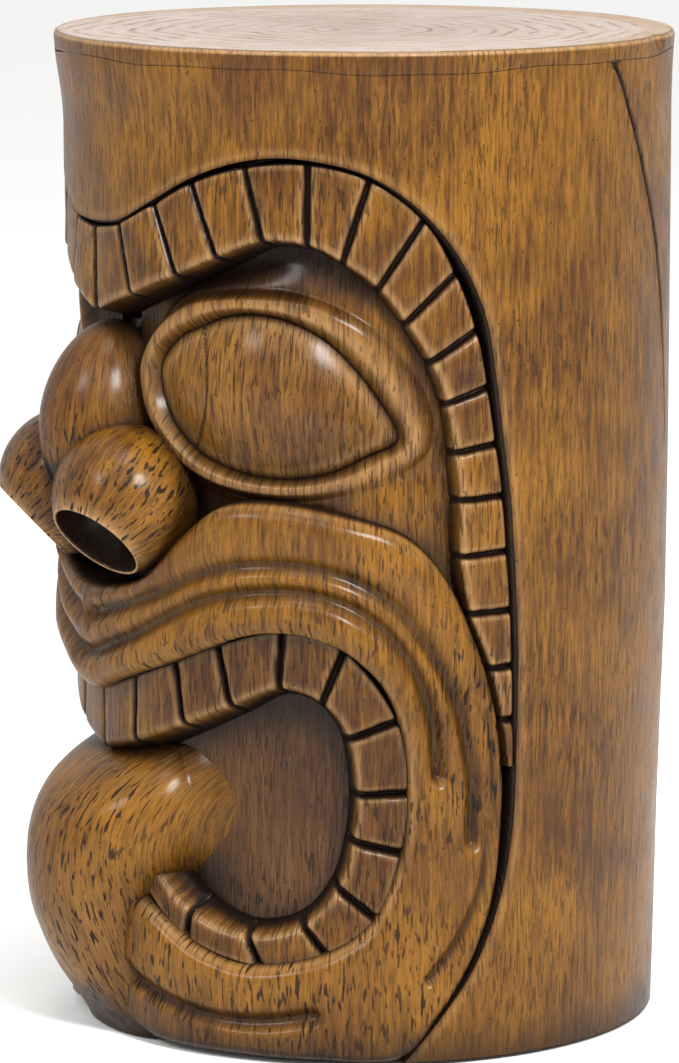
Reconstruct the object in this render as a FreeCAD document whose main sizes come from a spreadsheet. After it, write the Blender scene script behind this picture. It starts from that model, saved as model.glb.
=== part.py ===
# Tiki figure: a hollow round log with a wide carved-look face let into its front.
# Millimetres. +Z is up, the face looks along -Y, the origin is on the log's axis at the floor.
#
# Face outlines are lists of (s, h): s is the distance round a 130 mm cylinder from the middle
# of the face, positive towards the figure's left, and h is the height above the log's foot.
# They are wrapped round the log's axis, so they grow with the log's radius and height.
import FreeCAD
import Part
import math
import os
import Sketcher

from FreeCAD import Base, Placement, Rotation, Vector

doc = FreeCAD.newDocument("tiki_figure")

# ---- driving sizes -------------------------------------------------------------------------
SIZES = [
    ("log_height", 430.0),        # foot of the log to the top face
    ("log_radius", 134.0),        # over the upper half of the log
    ("rim_flare", 1.0),           # the rim stands out this much
    ("foot_taper", 6.0),          # the foot is this much slimmer
    ("shin_height", 100.0),       # two stations where the log's side bends
    ("shin_inset", 3.2),
    ("belly_height", 190.0),
    ("belly_inset", 1.0),
    ("wall", 12.0),               # shell thickness at log_radius
    ("disc_thickness", 9.0),      # visible edge of the top disc
    ("disc_edge", 3.0),           # bevel round the top disc
    ("spigot_depth", 8.0),        # part of the disc that drops into the shell
    ("base_thickness", 12.0),
    ("pad_thickness", 2.0),
    ("pad_inset", 4.0),           # pad is smaller than the base plate
    ("face_depth", 24.0),         # log surface down to the floor of the face
    ("tray_thickness", 6.0),
    ("brow_inset", 3.0),          # below the log surface
    ("panel_inset", 14.0),
    ("lid_inset", 9.0),
    ("teeth_inset", 8.0),
    ("groove_width", 2.6),
    ("groove_depth", 3.0),
    ("eye_ball_radius", 78.0),
    ("nose_half_width", 27.0),
    ("nose_half_height", 43.0),
    ("nostril_radius", 32.0),
    ("nostril_bore", 19.0),
    ("nostril_spread", 28.0),
    ("nostril_inset", 6.0),      # centre of the flare, inside the log's radius
    ("tongue_reach", 49.0),       # how far the tongue swells in front of its root
]
sheet = doc.addObject("Spreadsheet::Sheet", "sizes")
for row, (alias, value) in enumerate(SIZES, start=1):
    sheet.set("A%d" % row, alias)
    sheet.set("B%d" % row, repr(value))
    sheet.setAlias("B%d" % row, alias)
doc.recompute()


def size(alias):
    """The sheet's value as a plain number."""
    value = getattr(sheet, alias)
    return float(getattr(value, "Value", value))


ROUND = 130.0                                   # s is measured round a cylinder of this radius
KZ = size("log_height") / 430.0                 # height factor of the face outlines
KR = size("log_radius") / 134.0                 # radial factor of the free-standing forms
R_LOG = size("log_radius")
R_CAVITY = R_LOG - size("wall")
R_FLOOR = R_LOG - size("face_depth")
R_BROW = R_LOG - size("brow_inset")
R_PANEL = R_LOG - size("panel_inset")
R_LID = R_LOG - size("lid_inset")
R_TEETH = R_LOG - size("teeth_inset")
R_OUT = R_LOG + 60.0 * KR                       # clear of everything
Z_PAD = size("pad_thickness")

# ---- outlines of the figure's left half ----------------------------------------------------
WINDOW = [(0, 352), (22, 354), (44, 363.5), (66, 374.5), (82, 380.5), (107, 385), (122, 384),
          (145, 378), (162, 367), (174, 355), (185.5, 338), (194, 318), (198.5, 293), (202, 267),
          (205.5, 242), (207.5, 217), (209, 193), (210, 162), (210, 130), (209, 101), (205, 75),
          (199, 56), (190, 37), (179, 21.6), (168, 8), (156, -10)]
BROW_INNER = [(0, 312), (29, 321.7), (55.5, 333.3), (79, 341.7), (100.5, 349), (119, 348.3),
              (134, 341.7), (149, 330.8), (160.5, 316.7), (169, 300), (177, 283.3),
              (182, 261.7), (184, 241.7), (184, 215), (188.5, 193), (197, 174), (203.5, 150),
              (206, 126)]
BROW_GROOVES = [((0, 350), (0, 312)), ((21.3, 352), (29, 322.5)), ((45.5, 361), (57, 333)),
                ((65.5, 370), (78, 341.7)), ((92, 379), (99.5, 350)), ((119.5, 381), (119, 349)),
                ((145.5, 374), (134, 342.5)), ((168, 358), (149, 331.7)),
                ((182, 334), (160.5, 316.7)), ((190, 311), (170, 301.7)),
                ((195, 288), (177, 283)), ((199, 264), (181, 261.7)),
                ((202, 242.5), (183.5, 241.7)), ((204.5, 218.3), (184, 218)),
                ((206, 193), (188, 193)), ((207, 169), (198, 169))]
LIP_OUTER = [(0, 200), (38, 203), (62, 225), (80, 238), (105, 240), (130, 236), (160, 227),
             (176, 212), (188, 190), (201, 160), (206.5, 130), (206, 98), (202, 75),
             (196, 57), (187, 39), (176, 23), (165, 9), (158, 0)]
MOUTH = [(0, 149), (22.5, 156.8), (48.5, 165.5), (69.5, 174), (86.5, 181), (104, 184.2),
         (121.5, 182.8), (139, 174), (151, 162), (158, 146.4), (162, 127.3), (162, 104.8),
         (158, 84), (149, 63.2), (135.4, 51), (118, 44), (95.5, 39), (78, 41.5), (61, 47.6),
         (47, 56.3), (35, 66.7), (22, 78)]
LIP_RIDGES = [[(0, 165.5), (17.5, 170.7), (35, 177.6), (55.5, 188), (73, 196.7), (94, 201.5),
               (113, 202.7), (132, 199), (150, 188), (164, 170), (172, 148), (175, 124)],
              [(5.5, 183), (34.5, 191.5), (52, 198.4), (69.5, 207), (86.5, 212), (104, 214),
               (121.5, 213), (138.5, 208), (156, 196.7), (171, 178), (182, 152), (187, 124)],
              [(34.5, 25), (52, 19.9), (69.5, 16.4), (87, 15.5), (104, 16.4), (121.5, 19.9)]]
TEETH_INNER = [(0, 121), (30, 128.7), (44, 133), (59.3, 141), (82.9, 150.7), (104.7, 159.5),
               (124.4, 154.2), (135.1, 140.4), (138.7, 128.2), (140.4, 114.3), (138.7, 95.1),
               (134.2, 76.1), (113.5, 57.9), (88.4, 52.6), (59.3, 60.3), (36, 77)]
TEETH_GROOVES = [((0, 147), (0, 121)), ((27, 150), (26, 129)), ((53, 163), (57, 142)),
                 ((76, 172), (82, 151)),
                 ((106.8, 180), (105, 159.5)), ((134.5, 174), (124.4, 154)),
                 ((157, 146), (136, 139)), ((161.4, 116), (140, 115)), ((158.8, 91), (138, 95)),
                 ((147.5, 62), (131, 75)), ((125, 46), (115, 58.5)), ((95.5, 40), (88.5, 52.6)),
                 ((57.4, 50), (59, 60.5))]
EYE = [(42.7, 291.8), (53.6, 305.7), (68.1, 312.4), (78.8, 316.6), (96.4, 318.7),
       (110.6, 315.9), (124.6, 309.2), (138.6, 297.2), (149.1, 284.1), (157.9, 265.8),
       (145.6, 259.9), (128.1, 252.1), (110.6, 249), (92.9, 249.8), (78.8, 252.9),
       (64.4, 258.9), (51.9, 268.8), (44.5, 280.5)]
LID = [(32, 291.5), (37, 303), (50, 317), (70, 327.2), (93, 328.7), (113, 327.7), (131, 321.7),
       (149.5, 311.7), (163.7, 295.6), (173, 278), (172, 262), (155, 252), (131, 243.6),
       (110.6, 239.8), (88.5, 241), (67, 246.8), (51, 255.1), (37, 268.3)]
PANEL = [(12, 330), (60, 350), (110, 362), (150, 350), (182, 300), (192, 250), (194, 200),
         (196, 160), (180, 170), (150, 190), (110, 200), (75, 200), (40, 185), (12, 180),
         (5, 205), (4, 255), (5, 305)]
TRAY = [(0, 365), (30, 367), (60, 385), (90, 397), (120, 399), (150, 393), (175, 374),
        (200, 335), (212, 285), (221, 220), (224, 150), (223, 95), (214, 50), (190, 6)]

# tongue and chin: height, half width, how far it stands in front of its root, all in mm
TONGUE = [(0, 38, 16), (10.6, 34, 23), (22, 31, 31.4), (33, 30, 38.6), (44, 30, 43.6),
          (55, 31, 47.7), (66, 36, 49), (77, 42, 48.4), (88, 46, 45.9), (99, 48, 40.4),
          (110, 46, 29), (119, 41, 16), (124, 34, 3)]
TONGUE_ROOT = 112.0


# ---- wrapped solids ------------------------------------------------------------------------
def flat_point(point):
    """(s, h) -> (angle, height), the cylinder's own parameters."""
    return Base.Vector2d(point[0] / ROUND, point[1] * KZ)


def spline(points, closed=False):
    """A smooth curve through the points, worked out in mm and then wrapped."""
    curve = Part.Geom2d.BSplineCurve2d()
    curve.interpolate([Base.Vector2d(s, h) for s, h in points], closed)
    for pole in range(1, curve.NbPoles + 1):
        at = curve.getPole(pole)
        curve.setPole(pole, flat_point((at.x, at.y)))
    return curve


def straight(a, b):
    return Part.Geom2d.Line2dSegment(flat_point(a), flat_point(b))


def wrapped(curves, r_in, r_out):
    """A closed loop of wrapped curves, made solid between two radii."""
    faces, rings = [], []
    for radius in (r_in, r_out):
        cylinder = Part.Cylinder()
        cylinder.Radius = radius
        edges = [curve.toShape(cylinder) for curve in curves]
        face = Part.Face(cylinder, Part.Wire(edges))
        if not face.isValid():
            face.validate()
        faces.append(face)
        rings.append(edges)
    sides = [Part.makeRuledSurface(a, b) for a, b in zip(*rings)]
    solid = Part.makeSolid(Part.makeShell(faces + sides))
    if solid.Volume < 0:
        solid.reverse()
    return solid


def flip(points, side):
    """The same outline on the figure's left (1) or right (-1)."""
    return [(side * s, h) for s, h in points]


def loop(points, side, r_in, r_out):
    """Smooth closed outline."""
    return wrapped([spline(flip(points, side), True)], r_in, r_out)


def both_sides(half, r_in, r_out):
    """Outline given for the left half only, mirrored and closed along its lower ends."""
    whole = flip(half, -1)[::-1][:-1] + half
    return wrapped([spline(whole), straight(whole[-1], whole[0])], r_in, r_out)


def band(outer, inner, side, r_in, r_out):
    """The strip between two open curves, with straight ends."""
    outer, inner = flip(outer, side), flip(inner, side)
    return wrapped([spline(outer), straight(outer[-1], inner[-1]), spline(inner[::-1]),
                    straight(inner[0], outer[0])], r_in, r_out)


def shifted(points, distance):
    """The open curve moved sideways, to its left when walked from first to last."""
    out = []
    for i, (s, h) in enumerate(points):
        s0, h0 = points[max(i - 1, 0)]
        s1, h1 = points[min(i + 1, len(points) - 1)]
        run = math.hypot(s1 - s0, h1 - h0)
        out.append((s - distance * (h1 - h0) / run, h + distance * (s1 - s0) / run))
    return out


def grooves(pairs, side, depth_radius):
    """Straight radial cuts, each from one point to another."""
    cuts = []
    half = size("groove_width") / 2.0
    for a, b in pairs:
        (s0, h0), (s1, h1) = flip([a, b], side)
        run = math.hypot(s1 - s0, h1 - h0)
        ds, dh = (s1 - s0) / run, (h1 - h0) / run
        s0, h0, s1, h1 = s0 - 4 * ds, h0 - 4 * dh, s1 + 4 * ds, h1 + 4 * dh
        corners = [(s0 - half * dh, h0 + half * ds), (s1 - half * dh, h1 + half * ds),
                   (s1 + half * dh, h1 - half * ds), (s0 + half * dh, h0 - half * ds)]
        lines = [straight(corners[i], corners[(i + 1) % 4]) for i in range(4)]
        cuts.append(wrapped(lines, depth_radius, R_OUT))
    return cuts


def feature(label, shape):
    """A sub-part or tool whose shape is worked out from the sheet.

    Wrapped solids start at +X on the log's foot: the placement turns the face to -Y and
    stands it on the pad.
    """
    item = doc.addObject("Part::Feature", label)
    item.Label = label
    item.Shape = shape
    item.Placement = Placement(Vector(0, 0, Z_PAD), Rotation(Vector(0, 0, 1), -90))
    return item


def cut(label, base, tools):
    """base less each tool in turn, as live booleans; the last one carries the label."""
    for number, tool in enumerate(tools, start=1):
        last = number == len(tools)
        item = doc.addObject("Part::Cut", label if last else "%s_step_%d" % (label, number))
        item.Base, item.Tool = base, tool
        item.Refine = False       # merging faces spoils the thin edges round the nostrils
        base = item
    base.Label = label
    return base


# ---- turned bodies -------------------------------------------------------------------------
def plane(body, role):
    """The body's own origin plane with this role."""
    return next(f for f in body.Origin.OriginFeatures if f.Role == role)


def turned(label, profile, z_expression):
    """A body revolved about Z. Profile vertices are (x, z) pairs of sheet expressions or 0."""
    body = doc.addObject("PartDesign::Body", label)
    body.Label = label
    sketch = body.newObject("Sketcher::SketchObject", label + "_profile")
    sketch.AttachmentSupport = [(plane(body, "XZ_Plane"), "")]
    sketch.MapMode = "FlatFace"
    values = [(sheet_sum(x), sheet_sum(z)) for x, z in profile]
    count = len(values)
    for i in range(count):
        a, b = values[i], values[(i + 1) % count]
        sketch.addGeometry(Part.LineSegment(Vector(a[0], a[1], 0), Vector(b[0], b[1], 0)))
    for i in range(count):
        sketch.addConstraint(Sketcher.Constraint("Coincident", i, 2, (i + 1) % count, 1))
    for i, (x, z) in enumerate(profile):
        for kind, axis, text, value in (("DistanceX", -2, x, values[i][0]),
                                        ("DistanceY", -1, z, values[i][1])):
            if text == 0:
                sketch.addConstraint(Sketcher.Constraint("PointOnObject", i, 1, axis))
            else:
                number = sketch.addConstraint(
                    Sketcher.Constraint(kind, -1, 1, i, 1, value))
                sketch.setExpression("Constraints[%d]" % number, text)
    revolve = body.newObject("PartDesign::Revolution", label + "_turned")
    revolve.Profile = (sketch, [""])
    revolve.ReferenceAxis = (sketch, ["V_Axis"])
    revolve.Angle = 360
    body.setExpression("Placement.Base.z", z_expression)
    return body


def sheet_sum(expression):
    """Value of a sum of sheet aliases such as 'sizes.a - sizes.b'."""
    if expression == 0:
        return 0.0
    total, sign = 0.0, 1.0
    for word in expression.split():
        if word in "+-":
            sign = 1.0 if word == "+" else -1.0
        else:
            total += sign * size(word.replace("sizes.", ""))
    return total


LOG, TALL, WALL = "sizes.log_radius", "sizes.log_height", "sizes.wall"
CAVITY = LOG + " - " + WALL
blank = turned("log_blank", [
    (CAVITY, 0), (LOG + " - sizes.foot_taper", 0),
    (LOG + " - sizes.shin_inset", "sizes.shin_height"),
    (LOG + " - sizes.belly_inset", "sizes.belly_height"),
    (LOG, TALL + " - sizes.disc_thickness"), (CAVITY, TALL + " - sizes.disc_thickness")],
    "sizes.pad_thickness")

FLARE = LOG + " + sizes.rim_flare"
top_disc = turned("top_disc", [
    (0, 0), (CAVITY, 0), (CAVITY, "sizes.spigot_depth"), (LOG, "sizes.spigot_depth"),
    (FLARE, "sizes.spigot_depth + sizes.disc_thickness - sizes.disc_edge"),
    (FLARE + " - sizes.disc_edge", "sizes.spigot_depth + sizes.disc_thickness"),
    (0, "sizes.spigot_depth + sizes.disc_thickness")],
    "sizes.pad_thickness + sizes.log_height - sizes.disc_thickness - sizes.spigot_depth")

base_plate = turned("base_plate", [
    (0, 0), (CAVITY, 0), (CAVITY, "sizes.base_thickness"), (0, "sizes.base_thickness")],
    "sizes.pad_thickness")
base_pad = turned("base_pad", [
    (0, 0), (CAVITY + " - sizes.pad_inset", 0),
    (CAVITY + " - sizes.pad_inset", "sizes.pad_thickness"), (0, "sizes.pad_thickness")], "0")

# ---- log and tray --------------------------------------------------------------------------
window = feature("window", both_sides(WINDOW, R_FLOOR - 8.0, R_OUT))
log_shell = cut("log_shell", blank, [window])

under_base = Part.makeCylinder(R_LOG, size("base_thickness") + 200, Vector(0, 0, -200))
border = both_sides(TRAY, R_FLOOR, R_CAVITY).cut(
    both_sides(WINDOW, R_FLOOR - 2.0, R_CAVITY + 8.0))
panel = both_sides(TRAY, R_FLOOR - size("tray_thickness"), R_FLOOR)
feature("face_tray", panel.fuse(border).cut(under_base))

# ---- brow bands ----------------------------------------------------------------------------
brow_outer = shifted([p for p in WINDOW if p[1] > 120], -2.5)
brow_outer[0] = (0, WINDOW[0][1] - 2.5)
brow_outer = [p for p in brow_outer if p[1] > 131] + [(207.4, 126)]
brows = {}
for side, word in ((1, "left"), (-1, "right")):
    solid = band(brow_outer, BROW_INNER, side, R_FLOOR, R_BROW)
    brows[side] = solid
    notched = solid.cut(grooves(BROW_GROOVES, side, R_BROW - size("groove_depth")))
    feature("brow_band_" + word, notched)

# ---- tongue --------------------------------------------------------------------------------
core = Part.makeCylinder(R_FLOOR, 2000, Vector(0, 0, -500))
foot_disc = Part.makeCylinder(R_CAVITY, size("base_thickness") + 200, Vector(0, 0, -200))


def tongue_section(h, half_width, reach):
    """Rounded front (half an oval) closed by a straight back behind the face's floor."""
    root, back = TONGUE_ROOT * KR, R_FLOOR - 22.0 * KR
    stretch = size("tongue_reach") / 49.0 * KR
    points = [Vector(back, -half_width * KR, h * KZ)]
    for step in range(13):
        turn = math.pi * (step / 12.0 - 0.5)
        points.append(Vector(root + reach * stretch * math.cos(turn),
                             half_width * KR * math.sin(turn), h * KZ))
    points.append(Vector(back, half_width * KR, h * KZ))
    curve = Part.BSplineCurve()
    curve.interpolate(points)
    return Part.Wire([curve.toShape(), Part.LineSegment(points[-1], points[0]).toShape()])


swell = Part.makeLoft([tongue_section(*row) for row in TONGUE], True, False)
tongue = swell.cut(core).cut(foot_disc)
feature("tongue", tongue)

# ---- lips ----------------------------------------------------------------------------------
lip_top = flip(LIP_OUTER, -1)[::-1][:-1] + LIP_OUTER
mouth_edge = flip(MOUTH, -1)[::-1][:-1] + MOUTH
lower_end = [LIP_OUTER[-1], (38, 0), (5, 20), (5, 62), MOUTH[-1]]
left_end = [straight(a, b) for a, b in zip(lower_end, lower_end[1:])]
far_end = flip(lower_end, -1)[::-1]
right_end = [straight(a, b) for a, b in zip(far_end, far_end[1:])]
lip_block = wrapped([spline(lip_top)] + left_end + [spline(mouth_edge[::-1])] + right_end,
                    R_FLOOR, R_LOG)
ring = lip_block.cut([brows[1], brows[-1], tongue, foot_disc])
taper = Part.makeCone(R_LOG - size("foot_taper") + 1, R_LOG, size("belly_height") * KZ)
ring = ring.common(taper.fuse(Part.makeCylinder(
    R_OUT, size("log_height"), Vector(0, 0, size("belly_height") * KZ))))
ridges = []
for number, line in enumerate(LIP_RIDGES):
    lines = [flip(line, -1)[::-1][:-1] + line] if number == 0 else [line, flip(line, -1)]
    for points in lines:
        ridges.append(band(shifted(points, 1.2), shifted(points, -1.2), 1,
                           R_LOG - 0.7 * size("groove_depth"), R_OUT))
feature("lips", ring.cut(ridges))

# ---- teeth ---------------------------------------------------------------------------------
teeth_outer = shifted(MOUTH[:-1], 5)
teeth_outer[0] = (0, MOUTH[0][1] + 5)
for side, word in ((1, "left"), (-1, "right")):
    row = band(teeth_outer, TEETH_INNER, side, R_FLOOR, R_TEETH)
    row = row.cut([ring, tongue])
    row = row.cut(grooves(TEETH_GROOVES, side, R_TEETH - size("groove_depth")))
    feature("teeth_" + word, row)

# ---- eyes ----------------------------------------------------------------------------------
solids, blocks = {}, {}
for side, word in ((1, "left"), (-1, "right")):
    ball = loop(EYE, side, R_PANEL - 4, R_OUT)
    blocks[side] = [loop(PANEL, side, R_FLOOR, R_PANEL), loop(LID, side, R_PANEL - 1, R_LID)]
    panel = blocks[side][0].fuse(blocks[side][1]).cut([brows[side], ring, ball])
    solids[side] = feature("eye_panel_" + word, panel)
    almond = feature("eye_outline_" + word, ball)
    dome = doc.addObject("Part::Sphere", "eye_dome_" + word)
    dome.setExpression("Radius", "sizes.eye_ball_radius")
    turn = side * 103.0 / ROUND
    reach = "(sizes.log_radius - 5 - sizes.eye_ball_radius)"
    dome.setExpression("Placement.Base.x", "%s * %.6f" % (reach, math.sin(turn)))
    dome.setExpression("Placement.Base.y", "%s * %.6f" % (reach, -math.cos(turn)))
    dome.setExpression("Placement.Base.z", "sizes.pad_thickness + 284 / 430 * sizes.log_height")
    eye = doc.addObject("Part::Common", "eyeball_" + word)
    eye.Base, eye.Tool, eye.Label = almond, dome, "eyeball_" + word

# ---- nose ----------------------------------------------------------------------------------
hub = doc.addObject("Part::Cylinder", "face_floor")
hub.setExpression("Radius", "sizes.log_radius - sizes.face_depth")
hub.setExpression("Height", "sizes.log_height")


brow_tools = [feature("brow_tool_%d" % i, brows[side]) for i, side in enumerate((1, -1))]
lip_tool = feature("lip_tool", lip_block)
bulb = doc.addObject("Part::Ellipsoid", "bulb")
bulb.setExpression("Radius1", "sizes.nose_half_height")
bulb.setExpression("Radius2", "sizes.nose_half_width")
bulb.setExpression("Radius3", "sizes.nose_half_width")
bulb.setExpression("Placement.Base.y", "-(sizes.log_radius - 9)")
bulb.setExpression("Placement.Base.z", "sizes.pad_thickness + 268 / 430 * sizes.log_height")
cut("nose_bulb", bulb, [hub] + brow_tools + [solids[1], solids[-1]])

for side, word in ((1, "left"), (-1, "right")):
    aim = Vector(0.2 * side, -0.7, -0.69).normalize()
    spin = Rotation(Vector(0, 0, 1), aim)
    at = {"x": "%d * sizes.nostril_spread" % side, "y": "-(sizes.log_radius - sizes.nostril_inset)",
          "z": "sizes.pad_thickness + 236 / 430 * sizes.log_height"}
    flare = doc.addObject("Part::Sphere", "flare_" + word)
    flare.setExpression("Radius", "sizes.nostril_radius")
    hole = doc.addObject("Part::Cylinder", "hole_" + word)
    hole.setExpression("Radius", "sizes.nostril_bore")
    hole.setExpression("Height", "2 * sizes.nostril_radius")
    face = doc.addObject("Part::Cylinder", "mouth_of_" + word)
    face.setExpression("Radius", "2 * sizes.nostril_radius")
    face.setExpression("Height", "sizes.nostril_radius")
    for item, along in ((flare, 0.0), (hole, -0.13), (face, 0.73)):
        item.Placement = Placement(Vector(0, 0, 0), spin)
        for axis, step in zip("xyz", (aim.x, aim.y, aim.z)):
            item.setExpression("Placement.Base." + axis, "%s + %.6f * sizes.nostril_radius"
                               % (at[axis], along * step))
    middle = doc.addObject("Part::Box", "far_side_of_" + word)
    middle.Length, middle.Width, middle.Height = 400, 400, 900
    middle.Placement = Placement(Vector(-400 if side > 0 else 0, -400, 0), Rotation())
    eye_tools = [feature("eye_tool_%s_%d" % (word, i), block)
                 for i, block in enumerate(blocks[side])]
    cut("nostril_" + word, flare, [hub, lip_tool] + eye_tools + brow_tools
        + [bulb, hole, face, middle])

# ---- write every sub-part ------------------------------------------------------------------
NODES = ["log_shell", "top_disc", "face_tray", "brow_band_left", "brow_band_right",
         "eye_panel_left", "eye_panel_right", "eyeball_left", "eyeball_right", "nose_bulb",
         "nostril_left", "nostril_right", "lips", "teeth_left", "teeth_right", "tongue",
         "base_plate", "base_pad"]
doc.recompute()
for item in doc.Objects:
    if "Invalid" in item.State or "Error" in item.State:
        raise RuntimeError("%s: %s" % (item.Label, item.State))
os.makedirs("parts", exist_ok=True)
for label in NODES:
    node = doc.getObjectsByLabel(label)[0]
    if node.Shape.isNull() or not node.Shape.isValid():
        raise RuntimeError(label + " has no valid shape")
    print(label, len(node.Shape.Solids), round(node.Shape.Volume / 1000.0, 1), "cm3",
          [round(v, 1) for v in (node.Shape.BoundBox.XMin, node.Shape.BoundBox.YMin,
                                 node.Shape.BoundBox.ZMin, node.Shape.BoundBox.XMax,
                                 node.Shape.BoundBox.YMax, node.Shape.BoundBox.ZMax)])
    node.Shape.exportStep("parts/%s.step" % label)
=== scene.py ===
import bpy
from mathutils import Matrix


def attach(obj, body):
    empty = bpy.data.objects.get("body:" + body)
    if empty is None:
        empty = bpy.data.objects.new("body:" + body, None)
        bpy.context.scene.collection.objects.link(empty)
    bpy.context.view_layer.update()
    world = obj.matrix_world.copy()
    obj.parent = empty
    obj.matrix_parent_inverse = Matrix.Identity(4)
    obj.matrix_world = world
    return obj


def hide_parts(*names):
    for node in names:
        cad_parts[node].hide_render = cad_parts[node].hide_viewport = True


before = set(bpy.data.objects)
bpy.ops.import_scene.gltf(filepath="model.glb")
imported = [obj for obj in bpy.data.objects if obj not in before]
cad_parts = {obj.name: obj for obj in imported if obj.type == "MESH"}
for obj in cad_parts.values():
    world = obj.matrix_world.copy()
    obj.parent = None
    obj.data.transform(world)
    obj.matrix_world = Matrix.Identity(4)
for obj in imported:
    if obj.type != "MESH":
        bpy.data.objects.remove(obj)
"""Tiki figure: the visual model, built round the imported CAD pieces.

The log's side is unrolled: s runs round a 130 mm cylinder from the middle of the face
(positive to the figure's left), h is the height above the log's foot and r the distance
from the log's axis, all in mm. A point is X = r sin(s/130), Y = -r cos(s/130), Z = h + 2.
"""
import logging
import math
from dataclasses import dataclass
from enum import Enum

import bpy
import numpy as np
from mathutils import Vector

Array = np.ndarray
Socket = bpy.types.NodeSocket
Triple = tuple[float, float, float]
Value = Socket | float | Triple | None
LOG = logging.getLogger("tiki")
ROUND = 130.0  # mm, radius of the cylinder that s is measured on
FOOT = 2.0  # mm, height of the log's foot over the ground
FLOOR_R = 110.0  # mm, distance of the face's floor from the log's axis
METRES = 0.001  # metres in a millimetre
UV_SCALE = 0.01  # UV units in a millimetre
FAR_AWAY = 1e9  # mm, more than any distance measured here
WALK = 1500  # places read off a smooth line to space points evenly
Rows = list[tuple[tuple[float, float], tuple[float, float]]]


class Grain(Enum):
    """Scale of the short dark grain marks across and along a piece's own (u, v)."""

    FINE = (82, 9.5, 1)
    COARSE = (66, 11.0, 1)


# ---- lines and surfaces ----
def hermite(knots: Array, values: Array, x: Array) -> Array:
    """Smooth curve through values at knots.

    Piecewise cubic: each slope is the centred difference of its neighbours, so the curve
    doesn't overshoot much where the knots are uneven.

    Args:
        knots: increasing parameters, shape (k,).
        values: what to pass through, shape (k, d).
        x: where to read the curve, any shape.

    Returns:
        Array of shape x.shape + (d,).
    """
    knots = np.asarray(knots, float)
    values = np.asarray(values, float).reshape(len(knots), -1)
    gaps = np.diff(knots)
    chords = np.diff(values, axis=0) / gaps[:, None]
    slopes = np.empty_like(values)
    slopes[0], slopes[-1] = chords[0], chords[-1]
    weight = (gaps[1:] / (gaps[:-1] + gaps[1:]))[:, None]
    slopes[1:-1] = chords[:-1] * weight + chords[1:] * (1 - weight)
    x = np.asarray(x, float)
    i = np.clip(np.searchsorted(knots, x, side="right") - 1, 0, len(knots) - 2)
    g = gaps[i]
    t = ((x - knots[i]) / g)[..., None]
    g = g[..., None]
    return ((2 * t**3 - 3 * t**2 + 1) * values[i] + (t**3 - 2 * t**2 + t) * g * slopes[i]
            + (3 * t**2 - 2 * t**3) * values[i + 1] + (t**3 - t**2) * g * slopes[i + 1])


def lengths(points: Array) -> Array:
    """Distance along a polyline of (s, h) pairs at each of its points, from 0."""
    steps = np.hypot(*np.diff(points, axis=0).T)
    return np.concatenate([[0.0], np.cumsum(steps)])


def run_through(points: list, count: int, closed: bool = False) -> Array:
    """A smooth line through points, at evenly spaced places.

    Args:
        points: (s, h) pairs.
        count: how many places.
        closed: whether the line returns to its start.

    Returns:
        Array (count, 2).
    """
    p = np.asarray(points, float)
    if closed:
        p = np.vstack([p[-3:], p, p[:3]])
    knots = lengths(p)
    low, high = (knots[3], knots[len(p) - 3]) if closed else (0.0, knots[-1])
    fine = np.linspace(low, high, WALK)
    walked = lengths(hermite(knots, p, fine))
    at = np.linspace(0, walked[-1], count, endpoint=not closed)
    return hermite(knots, p, np.interp(at, walked, fine))


def line_distance(s: Array, h: Array, line: Array) -> Array:
    """Shortest distance from each (s, h) to a polyline.

    All the points at once are dropped onto each segment in turn, clipped to its ends.

    Args:
        s: places round the log, any shape.
        h: heights, the same shape.
        line: the polyline, shape (k, 2).

    Returns:
        Distances in the shape of s.
    """
    best = np.full(s.shape, FAR_AWAY)
    for (s0, h0), (s1, h1) in zip(line[:-1], line[1:]):
        ds, dh = s1 - s0, h1 - h0
        t = np.clip(((s - s0) * ds + (h - h0) * dh) / max(ds * ds + dh * dh, 1e-9), 0, 1)
        best = np.minimum(best, np.hypot(s - s0 - t * ds, h - h0 - t * dh))
    return best


def wrap(s: Array, h: Array, r: Array) -> Array:
    """(s, h, r) in mm to (x, y, z) in mm."""
    s, h, r = np.broadcast_arrays(s, h, r)
    return np.stack([r * np.sin(s / ROUND), -r * np.cos(s / ROUND), h + FOOT], -1)


def sway(a: Array, b: Array, size: float, seed: int) -> Array:
    """Gentle unevenness: the mean of five crossing sine waves of about one size.

    Args:
        a: first coordinate, mm.
        b: second coordinate, mm; it broadcasts with a.
        size: usual wavelength, mm.
        seed: for the waves' ways and shifts.

    Returns:
        Values from -1 to 1.
    """
    rng = np.random.default_rng(seed)
    total = np.zeros(np.broadcast(a, b).shape)
    waves = 5
    for _ in range(waves):
        turn, shift = rng.uniform(0, 2 * math.pi, 2)
        wave = 2 * math.pi / (size * rng.uniform(0.7, 1.5))
        total += np.sin((a * math.cos(turn) + b * math.sin(turn)) * wave + shift)
    return total / waves


def bell(distance: Array, width: float) -> Array:
    """1 on the line, falling to 0.37 at one width."""
    return np.exp(-((distance / width) ** 2))


def ramp(x: Array, low: float, high: float) -> Array:
    """0 below low, 1 above high, an S between."""
    t = np.clip((x - low) / (high - low), 0, 1)
    return t * t * (3 - 2 * t)


def show(name: str, data: bpy.types.ID) -> bpy.types.Object:
    """Put a mesh, light or camera in the scene as a new object of that name."""
    piece = bpy.data.objects.new(name, data)
    bpy.context.scene.collection.objects.link(piece)
    return piece


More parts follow.
